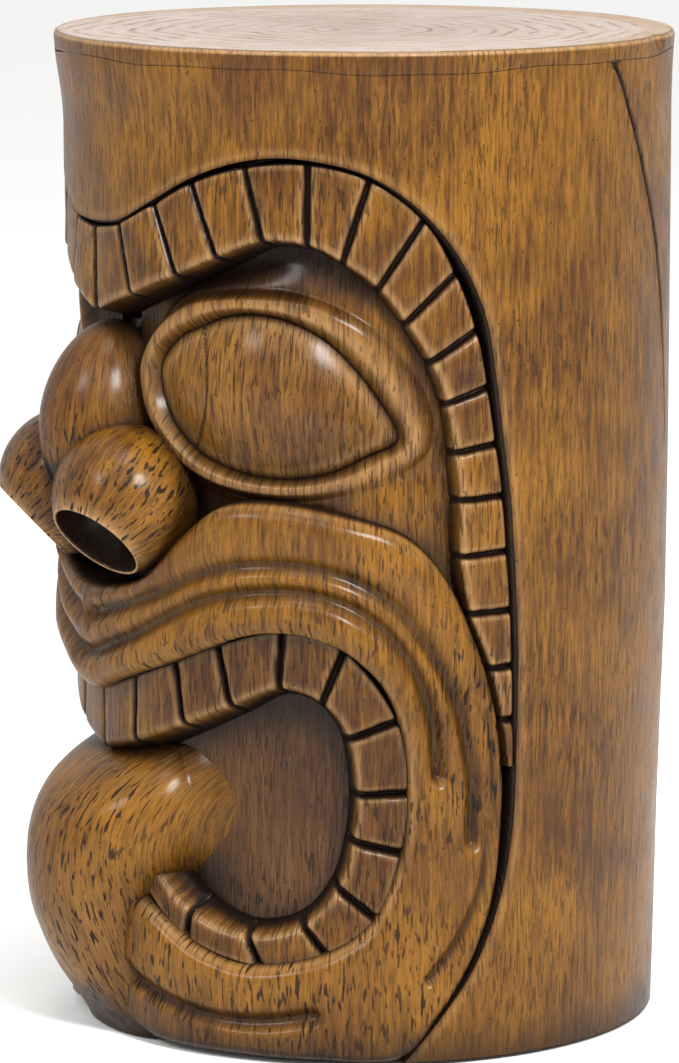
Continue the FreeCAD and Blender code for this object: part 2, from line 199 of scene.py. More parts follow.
@dataclass
class Skin:
    """A grid of points with what its material needs to know."""

    points: Array  # (nu, nv, 3) mm
    uv: Array  # (nu, nv, 2) mm, v along the grain
    dark: Array  # (nu, nv) 0 to 1, painted crevice dirt and painted shade
    wear_and_highlight: Array  # (nu, nv) 0 to 1, rubbed edges and painted highlights
    closed_u: bool = False
    closed_v: bool = False
    cap_ends: bool = False

    def build(self, name: str) -> bpy.types.Object:
        """Join neighbouring points into squares and put them in a mesh, in metres.

        Args:
            name: the object's name.

        Returns:
            The object, linked to the scene.
        """
        nu, nv = self.points.shape[:2]
        index = np.arange(nu * nv).reshape(nu, nv)
        i = np.arange(nu if self.closed_u else nu - 1)
        j = np.arange(nv if self.closed_v else nv - 1)
        a = index[np.ix_(i, j)]
        b = index[np.ix_((i + 1) % nu, j)]
        c = index[np.ix_((i + 1) % nu, (j + 1) % nv)]
        d = index[np.ix_(i, (j + 1) % nv)]
        faces = np.stack([a, b, c, d], -1).reshape(-1, 4).tolist()
        if self.cap_ends:
            faces += [index[0].tolist(), index[-1][::-1].tolist()]
        mesh = bpy.data.meshes.new(name)
        mesh.from_pydata((self.points.reshape(-1, 3) * METRES).tolist(), [], faces)
        corner = np.empty(len(mesh.loops), np.int32)
        mesh.loops.foreach_get("vertex_index", corner)
        layer = mesh.uv_layers.new(name="grain")
        layer.data.foreach_set("uv", (self.uv.reshape(-1, 2)[corner] * UV_SCALE).ravel())
        for word, values in (("dark", self.dark), ("wear_and_highlight", self.wear_and_highlight)):
            store = mesh.attributes.new(word, "FLOAT", "POINT")
            full = np.broadcast_to(np.clip(values, 0, 1), (nu, nv)).astype(np.float32)
            store.data.foreach_set("value", full.ravel())
        mesh.polygons.foreach_set("use_smooth", np.ones(len(mesh.polygons), bool))
        mesh.update()
        return show(name, mesh)


def place(piece: bpy.types.Object, material: bpy.types.Material, node: str) -> None:
    """Dress a piece, tie it to the figure's one body and let it stand for its CAD node.

    Args:
        piece: the object built.
        material: its finish.
        node: the CAD node it replaces.
    """
    piece.data.materials.clear()
    piece.data.materials.append(material)
    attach(piece, "root")
    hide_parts(node)
    LOG.info("%s: %d faces for %s", piece.name, len(piece.data.polygons), node)


# ---- outlines of the figure's left half, (s, h) in mm ----
# the window's edge, from the middle of the brow round to the foot
WINDOW = [(0, 352), (22, 354), (44, 363.5), (66, 374.5), (82, 380.5), (107, 385), (122, 384),
          (145, 378), (162, 367), (174, 355), (185.5, 338), (194, 318), (198.5, 293), (202, 267),
          (205.5, 242), (207.5, 217), (209, 193), (210, 162), (210, 130), (209, 101), (205, 75),
          (199, 56), (190, 37), (179, 21.6), (168, 8), (161, 0)]
# bands are rows of (outer, inner) points; brow and teeth have a cut at every row
BROW_ROWS = [((0, 349.5), (0, 313)), ((21.3, 351.5), (29, 322.5)), ((45, 361.5), (57, 333)),
             ((66, 371.8), (78, 341.7)), ((92, 379.5), (99.5, 349.5)),
             ((119.5, 381.5), (119, 348.5)), ((145, 375.2), (134, 341.5)),
             ((167.5, 358.5), (149, 330.7)), ((181, 336), (160.5, 316.2)),
             ((190, 312), (171, 299.7)), ((195.2, 288), (178, 282)),
             ((199.2, 264), (181.8, 261.2)), ((202.5, 242), (184, 241)),
             ((204.7, 218.3), (184.3, 217)), ((206.3, 193), (188.5, 192.5)),
             ((207.3, 169), (198, 168.5)), ((207.6, 146), (203.6, 146)),
             ((207.6, 126), (206.4, 126))]
LIP_ROWS = [((0, 196), (0, 149)), ((38, 203), (22, 156.5)), ((62, 224), (46, 164.8)),
            ((82, 238), (66, 172.7)), ((108, 240), (91, 182.2)), ((134, 235.5), (112, 184)),
            ((160, 227), (131, 178.8)), ((177, 211), (143.5, 170)), ((190, 187), (153, 159)),
            ((201, 157), (159.6, 142)), ((206, 125), (162.2, 122)), ((205.6, 95), (161.3, 99)),
            ((201.5, 66), (156, 78.5)), ((191, 40), (146.5, 60.3)), ((177.5, 19), (130, 48.2)),
            ((160, 1), (110, 42)), ((122, 0), (88, 40)), ((92, 0), (70, 44)), ((64, 0), (54, 51)),
            ((40, 1.5), (40, 59.5)), ((20, 10), (25, 66)), ((7, 22), (12, 70))]
# the lips' furrows: upper inner, upper outer, lower, and the one down the outer side
RIDGES = [[(0, 165.5), (17.5, 170.7), (35, 177.6), (55.5, 188), (73, 196.7), (94, 201.5),
           (113, 202.7), (132, 199), (150, 188), (164, 170), (172, 148), (175, 124)],
          [(5.5, 183), (34.5, 191.5), (52, 198.4), (69.5, 207), (86.5, 212), (104, 214),
           (121.5, 213), (138.5, 208), (156, 196.7), (171, 178), (184, 152), (190, 124), (190, 95)],
          [(7, 37), (17.5, 32), (34.5, 25), (52, 19.9), (69.5, 16.4), (87, 15.5), (104, 16.8),
           (121.5, 20)],
          [(197, 150), (199.5, 122), (198, 96), (193, 72), (184, 53), (171, 36)]]
TEETH_ROWS = [((-1, 149), (-1, 121)), ((27, 158), (26, 128.5)), ((53, 167.5), (57, 140)),
              ((76, 177), (82, 150.3)), ((106.8, 185), (105, 159.5)),
              ((134.5, 177.5), (124.4, 154)), ((158, 147), (136, 139)),
              ((163, 116), (140, 115)), ((160, 90), (138, 95)),
              ((149, 61), (131, 75)), ((126, 45.5), (115, 58.5)), ((95.5, 39), (88.5, 52.6)),
              ((57.4, 48), (59, 60.5)), ((33, 66), (37, 77))]
EYE = [(38.1, 291), (49.8, 305), (65.1, 311.7), (76.3, 316), (94.7, 318.1), (109.4, 315.4),
       (124, 308.7), (138.4, 296.6), (149.3, 283.6), (158.5, 265.2), (145.7, 259.3),
       (127.5, 251.4), (109.4, 248.4), (91.1, 249.1), (76.3, 252.2), (61.2, 258.1),
       (47.9, 268), (40.1, 279.7)]
LID = [(26, 290.8), (30, 301), (40, 313), (57.5, 323.8), (76, 327), (93, 328), (113, 327.2),
       (131, 322.2), (149.5, 312), (164, 296), (173.5, 278.5), (173, 262), (158, 250.5),
       (132, 242.5), (110.6, 239.8), (88.5, 240.5), (66.6, 244.8), (49.5, 253), (34, 267),
       (27, 279)]
CHEEK = [(13, 285), (14, 318), (40, 334), (75, 348), (110, 356), (146, 344), (174, 318),
         (189, 285), (193, 250), (195, 215), (188, 200), (165, 210), (130, 224), (105, 229),
         (80, 225), (62, 212), (38, 192), (16, 200), (11, 240)]
# the long split in the timber
SPLIT = [(256, 430), (260, 421), (266.5, 411), (276, 393), (291, 362), (301, 340), (309, 315),
         (316, 288), (322, 255), (328, 215), (333, 170), (338, 120), (342, 60), (345, 0)]
# height, half width, and how far the tongue stands in front of its root
TONGUE = [(-1, 37, 15.5), (6, 36, 20), (14, 34, 26), (22, 32, 32), (33, 30, 38.8), (44, 30, 43.8),
          (55, 31, 47.6), (66, 35, 48.9), (77, 41, 48.2), (88, 45.5, 45.7), (99, 47.5, 40.6),
          (110, 46, 31), (118, 42, 19), (124, 36, 6), (127, 32, -2)]


def log_radius(s: Array, h: Array) -> Array:
    """Distance of the log's surface from its axis.

    A slow taper to the foot, a small flare at the rim, a shallow hollow over the brow and a
    low unevenness all round.
    """
    heights = np.array([0, 20, 90, 135, 180, 250, 400, 412, 421, 430.0])
    radii = np.array([128.0, 128.5, 129.9, 131.2, 132.7, 133.3, 133.6, 133.9, 134.3, 134.8])
    r = np.interp(h, heights, radii)
    front = bell(s, 105) * (1 - ramp(h, 388, 424)) * ramp(h, 330, 350)
    return r - 3.6 * front + 0.35 * sway(s, h * 0.5, 90, 3) * (1 - ramp(h, 405, 421))


def seam_height(s: Array) -> Array:
    """The wavy line where the top disc meets the log: three sines round the rim."""
    a = s / ROUND
    return 421 + 0.9 * np.sin(3 * a + 1) + 0.7 * np.sin(7 * a + 2.2) + 0.35 * np.sin(16 * a)


# ---- the log ----
@dataclass
class Log:
    """The hollow log with its window, and the disc that closes its top."""

    half_turn: float = ROUND * math.pi
    rays: int = 250
    near_rows: int = 26  # between the window and the split
    far_rows: int = 30  # beyond the split
    rim_share: float = 0.42  # share of the rays that end on the rim, not at the back
    beside_window: int = 40  # rows next to the window that can hold its painted shade
    hollow: float = 121.9  # radius inside the foot ring

    def half(self) -> tuple[Array, Array]:
        """Rays from the window's edge to the rim and the back, left half.

        Point = edge + (border - edge) * w. The rows of w crowd round the long split in the
        timber, so that the split follows one line of the grid; where a ray meets the split
        is found in 40 damped steps.

        Returns:
            s and h, shape (rays, rows).
        """
        edge = run_through(WINDOW, self.rays)
        t = np.linspace(0, 1, self.rays)
        turn = self.rim_share
        border_s = self.half_turn * np.clip(t / turn, 0, 1) ** 0.9
        top = seam_height(border_s)
        border_h = np.where(t < turn, top, top[-1] * (1 - np.clip((t - turn) / (1 - turn), 0, 1)))
        split = np.array(SPLIT, float)[::-1]
        w = np.full(self.rays, 0.3)
        for _ in range(40):
            h = edge[:, 1] + (border_h - edge[:, 1]) * w
            aim = np.interp(h, split[:, 1], split[:, 0])
            share = (aim - edge[:, 0]) / (border_s - edge[:, 0] + 1e-6)
            w = 0.5 * w + 0.5 * np.clip(share, 0.2, 0.94)
        reach = np.hypot(border_s - edge[:, 0], border_h - edge[:, 1])
        offsets = np.array([-7, -4, -2.3, -1.4, -0.8, -0.4, 0, 0.4, 0.8, 1.4, 2.3, 4, 7.0])
        crowd = w[:, None] + offsets / reach[:, None] * np.minimum(1, reach / 160)[:, None]
        low, high = crowd[:, :1], crowd[:, -1:]
        near = low * np.linspace(0, 1, self.near_rows, endpoint=False) ** 1.5
        far = high + (1 - high) * np.linspace(0, 1, self.far_rows + 1)[1:]
        rows = np.hstack([near, crowd, far])
        s = edge[:, :1] + (border_s[:, None] - edge[:, :1]) * rows
        h = edge[:, 1:] + (border_h[:, None] - edge[:, 1:]) * rows
        return s, h

    def shell(self) -> Skin:
        """The outside and the window's edge.

        Both halves side by side; the window's edge turns in over six more rows. The split
        is open on the figure's left above; a shorter one opens low down on its right.

        Returns:
            The open skin, with its seam down the back.
        """
        s, h = self.half()
        s = np.vstack([-s[::-1], s[1:]])
        h = np.vstack([h[::-1], h[1:]])
        r = log_radius(s, h)
        split = np.array(SPLIT, float)
        away, other = line_distance(s, h, split), line_distance(-s, h, split)
        high, low = ramp(h, 235, 330), ramp(h, 40, 120) * (1 - ramp(h, 190, 260))
        depth = high * (2.2 + 0.8 * np.sin(h * 0.21))
        r = r - depth * bell(away, 0.75) + 0.35 * high * bell(away - 2.2, 1.3)
        r = r - 1.6 * low * bell(other, 0.8)
        near = np.s_[:, :self.beside_window]
        edge_gap = line_distance(s[near], h[near], self.whole_edge())
        dark, wear_and_highlight = np.zeros(s.shape), np.zeros(s.shape)
        # painted shade along the window's edge: a dark line and a soft band
        dark[near] = 0.35 * bell(edge_gap, 1.4) + 0.12 * bell(edge_gap, 6)
        # painted shade in the long split and in the short low one
        dark += high * (bell(away, 1.1) + 0.3 * bell(away, 5)) + low * bell(other, 1)
        # a lighter band just out from the window's edge: rubbed edge and painted highlight
        wear_and_highlight[near] = 0.25 * bell(edge_gap - 2.2, 1.6)
        # the window's edge: rounded over, then straight in to the face's floor
        inset = np.array([1.6, 1.6, 1.6, 1.3, 0.7, 0.0])
        drop = np.array([24.0, 12.0, 5.0, 2.2, 0.9, 0.25])
        outward = (s[:, 1:2] - s[:, :1]), (h[:, 1:2] - h[:, :1])
        run = np.hypot(*outward) + 1e-9
        wall_s = s[:, :1] - outward[0] / run * inset
        wall_h = h[:, :1] - outward[1] / run * inset
        wall_r = r[:, :1] - drop
        points = wrap(np.hstack([wall_s, s]), np.hstack([wall_h, h]), np.hstack([wall_r, r]))
        points[..., 2] = np.maximum(points[..., 2], FOOT)
        uv = np.stack([np.hstack([wall_s, s]), np.hstack([wall_h, h])], -1)
        # the wall in to the face's floor is fully dark: painted shade
        dark = np.hstack([np.ones(wall_s.shape), dark])
        wear_and_highlight = np.hstack([np.zeros(wall_s.shape), wear_and_highlight])
        return Skin(points, uv, dark, wear_and_highlight)

    def whole_edge(self) -> Array:
        """The window's edge, both halves, as one line."""
        half = run_through(WINDOW, 110)
        return np.vstack([half[::-1] * [-1, 1], half[1:]])

    def foot_ring(self) -> Skin:
        """The underside between the log's outside and its hollow, round the back.

        Returns:
            The open skin, flat on the log's foot.
        """
        start = 163.0  # where the window's edge meets the foot
        s = np.linspace(start, 2 * self.half_turn - start, 240)[:, None]
        r = np.linspace(0, 1, 4)[None, :]
        outer = log_radius(np.where(s > self.half_turn, s - 2 * self.half_turn, s), s * 0)
        radius = outer + (self.hollow - outer) * r
        points = wrap(s, s * 0, radius)
        flat = np.zeros(radius.shape)
        # painted shade: the underside 0.4 dark all over
        return Skin(points, np.stack([s + 0 * r, radius], -1), flat + 0.4, flat)

    def disc(self) -> Skin:
        """The top: side, rounded rim and a slightly dished face, closed at the centre.

        Returns:
            The skin, one ring of points per radius, from the seam to the centre.
        """
        s = np.linspace(-self.half_turn, self.half_turn, 480, endpoint=False)[:, None]
        seam = seam_height(s)
        nick = 2.6 * bell(s - 300, 5) + 1.2 * bell(s - 120, 9) + 1.0 * bell(s + 210, 8)
        uneven = 0.45 * sway(s, s * 0, 60, 8) + 0.25 * sway(s, s * 0, 17, 5) - nick
        side_rows = ((-0.2, 0.45), (0.25, 0.15), (0.9, 0.0), (2.6, 0.0), (4.4, 0.0))
        rows_r, rows_h = [], []
        base = log_radius(s, seam)
        for up, tuck in side_rows:
            rows_h.append(seam + up)
            rows_r.append(base - tuck + up * 0.06 + uneven * min(1, up / 4.4) * 0.5)
        for turn in np.radians([0, 22, 45, 67, 90]):
            rows_h.append(427.2 + 2.6 * math.sin(turn) + 0 * s)
            rows_r.append(134.7 - 2.6 * (1 - math.cos(turn)) + uneven * 0.8)
        for far in (130, 127, 123, 116, 106, 94, 80, 66, 52, 38, 24, 12, 4, 0.01):
            rows_h.append(429.75 - 0.35 * (1 - (far / 132) ** 2) + 0 * s)
            rows_r.append(far + uneven * 0.8 * (far / 132) ** 4)
        h = np.hstack(rows_h)
        r = np.hstack(rows_r)
        points = wrap(s, h, r)
        side = len(side_rows)
        flat = np.stack([points[..., 0], points[..., 1]], -1)
        upright = np.stack([s + 0 * r, h], -1)
        uv = np.where((np.arange(h.shape[1]) < side + 3)[None, :, None], upright, flat)
        dark = np.zeros(h.shape)
        dark[:, 0], dark[:, 1] = 0.3, 0.1
        wear_and_highlight = np.zeros(h.shape)
        # painted highlight along the rounded rim
        wear_and_highlight[:, side + 1:side + 5] = 0.8
        return Skin(points, uv, dark, wear_and_highlight, closed_u=True)


# ---- strips that follow a line ----
def stations(rows: int, crowd: bool) -> Array:
    """Places along a strip, in row numbers.

    Args:
        rows: how many rows of points the strip has.
        crowd: whether to crowd the places next to each row, where a cut is.

    Returns:
        Increasing numbers from 0 to rows - 1.
    """
    steps = (np.array([0, .014, .028, .045, .07, .11, .17, .25, .35, .45, .55, .65, .75, .83,
                       .89, .93, .955, .972, .986])
             if crowd else np.linspace(0, 1, 22, endpoint=False))
    return np.append((np.arange(rows - 1)[:, None] + steps).ravel(), rows - 1.0)


@dataclass
class Strip:
    """A band between two edges: a rounded block section carried along matched rows."""

    rows: Rows
    top: Array  # radius of the upper surface at each row
    floor: float = FLOOR_R - 1
    outer_round: float = 2.0
    inner_round: float = 3.0
    inner_slope: float = 4.0  # how far the inner wall leans in at its foot
    across: int = 20  # places across the upper surface
    cut_depth: float = 3.2  # 0 for a band without cuts
    cut_width: float = 1.15
    crowd: bool = True

    def skin(self, side: int, ridges: list | None = None, seed: int = 1) -> Skin:
        """Outer wall, rounded edge, top, rounded edge and inner wall, closed behind.

        Across the top x runs from the outer edge to the inner one; each rounded edge is a
        quarter circle; cuts sink by a bell of the distance to their line.

        Args:
            side: 1 for the figure's left, -1 for its right.
            ridges: lines of soft furrows along the band.
            seed: for the unevenness of the blocks.

        Returns:
            The closed skin.
        """
        outer = np.array([a for a, _ in self.rows], float)
        inner = np.array([b for _, b in self.rows], float)
        k = np.arange(len(self.rows), dtype=float)
        u = stations(len(self.rows), self.crowd)
        a, b = hermite(k, outer, u), hermite(k, inner, u)
        top = hermite(k, np.asarray(self.top, float), u)[:, 0]
        width = np.hypot(*(b - a).T)
        way = (b - a) / width[:, None]
        ro = np.minimum(self.outer_round, width * 0.3)[:, None]
        ri = np.minimum(self.inner_round, width * 0.35)[:, None]
        rise = np.radians([0, 18, 36, 54, 72])[None, :]
        fall = np.radians([18, 36, 54, 72, 90])[None, :]
        crown, deep = top[:, None], (top - self.floor)[:, None]
        across = width[:, None]
        outer_wall = np.array([[1.0, 0.55, 0.2]])
        inner_wall = np.array([[0.25, 0.6, 1.0]])
        x_parts = [0 * outer_wall * across, ro * (1 - np.cos(rise)),
                   ro + (across - ro - ri) * np.linspace(0, 1, self.across)[None, :],
                   across - ri * (1 - np.sin(fall)), across + self.inner_slope * inner_wall]
        r_parts = [crown - ro - (deep - ro) * outer_wall, crown - ro * (1 - np.sin(rise)),
                   crown + 0 * x_parts[2], crown - ri * (1 - np.cos(fall)),
                   crown - ri - (deep - ri) * inner_wall]
        x, r = np.hstack(x_parts), np.hstack(r_parts)
        s = a[:, :1] + way[:, :1] * x
        h = a[:, 1:] + way[:, 1:] * x
        dark, wear_and_highlight = np.zeros(s.shape), np.zeros(s.shape)
        inside = np.clip(x / width[:, None], 0, 1)
        if self.cut_depth > 0:
            near = np.full(s.shape, FAR_AWAY)
            overshoot = np.array([[-0.4], [0.4]])
            for cut in np.array(self.rows[:-1], float):
                line = cut + (cut[1] - cut[0]) * overshoot
                near = np.minimum(near, line_distance(s, h, line))
            near = near + 0.25 * sway(s, h, 9, seed + 4)
            block = np.floor(u + 1e-6).astype(int)  # a place right on a row is its own
            rng = np.random.default_rng(seed)
            lift = rng.uniform(-0.5, 0.45, len(self.rows) + 1)[block][:, None]
            tilt = rng.uniform(-0.6, 0.6, len(self.rows) + 1)[block][:, None]
            calm = ramp(near, 0.5, 3)
            r = r + calm * (lift + tilt * (inside - 0.5)) * (x > 0.01)
            r = r - self.cut_depth * bell(near, self.cut_width) - 0.5 * bell(near, 3.2)
            # painted dirt and painted shade in the cuts between blocks
            dark += bell(near, self.cut_width * 1.15) + 0.25 * bell(near, 4)
            # lighter just beside each cut: rubbed edges and painted highlights
            wear_and_highlight += 0.4 * bell(near - 2.4, 1.2) * ramp(near, 1, 2)
        for line in ridges or []:
            path = run_through(line, 90)
            near = line_distance(s, h, path)
            r = r - 5.0 * bell(near, 3.8)
            # painted dirt and painted shade in the furrows
            dark += 0.65 * bell(near, 2.6)
        from_inner = width[:, None] - x
        # painted shade on the outer and inner walls
        dark += 0.9 * ramp(-from_inner, -0.5, 3.0) + 0.9 * ramp(1.2 - x, 0, 1.0)
        # lighter along both top edges: rubbed edges and painted highlights
        wear_and_highlight += 0.5 * bell(from_inner - 1.5, 1.8) + 0.3 * bell(x - 1.6, 1.2)
        r = r + 0.3 * sway(s, h, 22, seed + 9)
        r = np.maximum(r, self.floor)
        wear_and_highlight = wear_and_highlight * ramp(width, 3, 9)[:, None]
        return Skin(wrap(side * s, h, r), np.stack([side * s, h], -1), dark, wear_and_highlight,
                    closed_v=True, cap_ends=True)


# ---- the face ----
def spokes(outline: Array, centre: tuple[float, float], angles: Array) -> Array:
    """How far a star-shaped outline lies from a centre along each angle.

    Args:
        outline: closed line of (s, h) points.
        centre: a point inside it.
        angles: directions in radians, -pi to pi.

    Returns:
        Distances in the shape of angles.
    """
    d = outline - np.array(centre)
    a, far = np.arctan2(d[:, 1], d[:, 0]), np.hypot(d[:, 0], d[:, 1])
    order = np.argsort(a)
    a, far = a[order], far[order]
    return np.interp(angles, np.concatenate([a - 2 * math.pi, a, a + 2 * math.pi]),
                     np.tile(far, 3))


@dataclass
class Face:
    """Everything that stands on the face's floor, and the floor.

    For the pieces that come in pairs, side is 1 on the figure's left and -1 on its right.
    """

    eye_centre: tuple[float, float] = (100.0, 284.0)
    brow_top: float = 131.0
    iris_centre: tuple[float, float] = (31.0, 288.0)
    iris_reach: float = 41.0
    around_lid: int = 260  # spokes of the eye panel
    around_ball: int = 220  # spokes of the eyeball
    outline_steps: int = 700  # places on each outline that the spokes are cut by

    def rays(self, count: int, *outlines: list) -> tuple[Array, list[Array]]:
        """Spokes from the eye's centre, and where they cross some outlines.

        Args:
            count: how many spokes.
            outlines: closed lines of (s, h) points.

        Returns:
            The spokes' angles and each outline's distances, as columns.
        """
        turn = np.linspace(-math.pi, math.pi, count, endpoint=False)
        cuts = [spokes(run_through(line, self.outline_steps, True), self.eye_centre, turn)
                for line in outlines]
        return turn[:, None], [cut[:, None] for cut in cuts]

    def brow(self, side: int) -> Skin:
        """Notched band from the middle of the brow down to a point beside the lips.

        Its outer edge is pushed 1.1 mm towards the window's, all but at the middle.
        """
        k = np.arange(len(BROW_ROWS))
        top = self.brow_top - 1.6 * bell(k, 3.0)
        pairs = np.array(BROW_ROWS, float)
        way = pairs[:, 0] - pairs[:, 1]
        pairs[:, 0] += 1.1 * way / np.hypot(*way.T)[:, None] * ramp(k, 0, 1)[:, None]
        strip = Strip(pairs.tolist(), top, inner_slope=5.0, inner_round=2.6, outer_round=1.6,
                      across=16)
        return strip.skin(side, seed=11 + side)

    def teeth(self, side: int) -> Skin:
        """Row of teeth under the lips; the inner edge leans in as a worn ledge."""
        k = np.arange(len(TEETH_ROWS))
        top = np.interp(k, [0, 3, 5, 7, 10, 13], [126.8, 126.5, 125.5, 124.5, 124, 125])
        strip = Strip(TEETH_ROWS, top, inner_slope=4.5, inner_round=4.5, outer_round=0.8,
                      across=16, cut_depth=4.2, cut_width=1.3)
        return strip.skin(side, seed=31 + side)

    def lips(self) -> Skin:
        """One band over the mouth and round both corners, with soft furrows along it."""
        near = LIP_ROWS[1:]
        rows = [((-a[0], a[1]), (-b[0], b[1])) for a, b in near[::-1]] + LIP_ROWS
        half = np.interp(np.arange(len(LIP_ROWS)), [0, 2, 4, 7, 9, 11, 14, 17, 21],
                         [136, 136, 135, 133, 132, 131.5, 131, 131.5, 132])
        top = np.concatenate([half[:0:-1], half])
        strip = Strip(rows, top, outer_round=9.0, inner_round=8.5, inner_slope=3.0,
                      across=30, cut_depth=0.0, crowd=False)
        lines = [[(-s, h) for s, h in RIDGES[0][:0:-1]] + RIDGES[0]]
        skin = strip.skin(1, ridges=lines, seed=5)
        s, h = skin.uv[..., 0], skin.uv[..., 1]
        near_s = np.abs(s)
        r = np.hypot(skin.points[..., 0], skin.points[..., 1])
        for line, size, wide in ((RIDGES[1], 4.6, 4.0), (RIDGES[2], 5.0, 4.2),
                                 (RIDGES[3], 3.0, 2.4)):
            gap = line_distance(near_s, h, run_through(line, 90))
            on = ramp(r, 118, 124)
            r = r - size * bell(gap, wide) * on
            # painted dirt and painted shade in the furrows
            skin.dark += 0.65 * bell(gap, wide * 0.7)
        taper = log_radius(s, h) + 1.5
        r = np.where(h < 60, np.minimum(r, taper + 2.2 * ramp(h, 0, 55)), r)
        skin.points = wrap(s, h, r)
        return skin

    def eye_panel(self, side: int) -> Skin:
        """Lid and cheek: rings that grow from the eye's outline to under the neighbours.

        The radius is a lid roll (a bell of the distance from its crest) on a cheek that
        slopes from ring to ring.
        """
        turn, (eye, lid, out) = self.rays(self.around_lid, EYE, LID, CHEEK)
        eye = eye - 1.2  # tucked under the eyeball's edge
        t = np.concatenate([np.linspace(0, 1, 26), 1 + np.linspace(0, 1, 26)[1:]])[None, :]
        on_lid = t <= 1
        far = np.where(on_lid, eye + (lid - eye) * t, lid + (out - lid) * (t - 1))
        s = self.eye_centre[0] + far * np.cos(turn)
        h = self.eye_centre[1] + far * np.sin(turn)
        gap, wide = far - eye, lid - eye
        slack = bell(turn - 0.75, 0.85)  # the roll melts away at the upper right
        ground = (112.0 + 6.5 * ramp(s, 60, 150) + 1.5 * ramp(s, 150, 182)
                  - 3.5 * ramp(h, 316, 340)
                  + 5.5 * ramp(-h, -262, -238) * ramp(s, 52, 92) * (1 - ramp(s, 150, 185)))
        top = 124.6 + 0.6 * ramp(s, 60, 110) - 1.2 * slack
        up = ramp(t, -0.12, 0.42)
        down = ramp(1.25 - t, 0, 0.62)
        rim = ground + (top - ground) * ramp(0.25, 0, 0.62)
        lid_r = np.where(t < 0.5, 116.5 + (top - 116.5) * up, ground + (top - ground) * down)
        past = ground + (rim - ground) * bell(gap - wide, 3.2 + 15 * slack)
        r = np.where(on_lid, lid_r, past) + 0.25 * sway(s, h, 25, 77)
        under_brow = ramp(h, 314, 334)
        # painted shade: dark in the crease at the eye's outline, darker where the floor lies
        # deeper, a band under the brow and a soft one along the lid's outer edge
        dark = (0.9 * bell(gap, 1.5) + 0.35 * ramp(-r, -116.5, -111) + 0.55 * under_brow
                + 0.25 * bell(gap - wide, 3.5) * (1 - slack))
        # lighter along the lid roll's crest: rubbing and painted highlight
        wear_and_highlight = 0.45 * bell(t - 0.45, 0.25) * on_lid
        s = side * s
        return Skin(wrap(s, h, r), np.stack([s, h], -1), dark, wear_and_highlight, closed_u=True)

    def eyeball(self, side: int) -> Skin:
        """Almond dome with the iris's arc cut in.

        The radius falls with a power of t, the share of the way to the outline; the last
        ring drops behind the lid. Beyond the arc the dome stands a little prouder.
        """
        turn, (eye,) = self.rays(self.around_ball, EYE)
        t = np.concatenate([[0.001], np.linspace(0, 1, 60)[1:] ** 0.8, [1.0]])[None, :]
        far = eye * t
        s = self.eye_centre[0] + far * np.cos(turn)
        h = self.eye_centre[1] + far * np.sin(turn)
        r = 119.0 + 9.8 * (1 - t**2.1) + 0 * s
        r[:, -1] = 114.0
        from_iris = np.hypot(s - self.iris_centre[0], h - self.iris_centre[1])
        arc = np.abs(from_iris - self.iris_reach)
        r = r - 1.0 * bell(arc, 0.9) * (t < 0.985)
        r = r + 0.5 * (from_iris > self.iris_reach) * (1 - t**6)
        # painted dirt and painted shade in the iris's groove, painted shade where the ball goes
        # under the lid
        dark = 0.8 * bell(arc, 0.8) + 0.9 * ramp(t, 0.95, 1.0) + 0 * s
        # rubbing and painted highlight: a ring just inside the edge, a little lighter towards the
        # middle
        wear_and_highlight = 0.35 * bell(t - 0.9, 0.06) + 0.1 * (1 - t)
        s = side * s
        return Skin(wrap(s, h, r), np.stack([s, h], -1), dark, wear_and_highlight, closed_u=True)

    def floor(self) -> Skin:
        """The floor of the face: a smooth, slightly hollow panel just behind it all."""
        s = np.linspace(-214, 214, 170)[:, None]
        h = np.linspace(13, 392, 150)[None, :]
        swell = 1.6 * bell(np.abs(s) - 92, 34) * bell(h - 108, 40)
        r = FLOOR_R - 1.6 - swell + 0.5 * sway(s, h, 60, 21)
        # painted shade: the floor darker all over, more beside the tongue's foot and along a band
        # under the upper teeth
        dark = 0.26 + 0.5 * bell(h - 70, 20) * bell(np.abs(s) - 58, 22) + 0 * s
        dark = dark + 0.3 * bell(h - 146, 16)
        s, h = np.broadcast_arrays(s, h)
        return Skin(wrap(s, h, r), np.stack([s, h], -1), dark, 0 * dark)


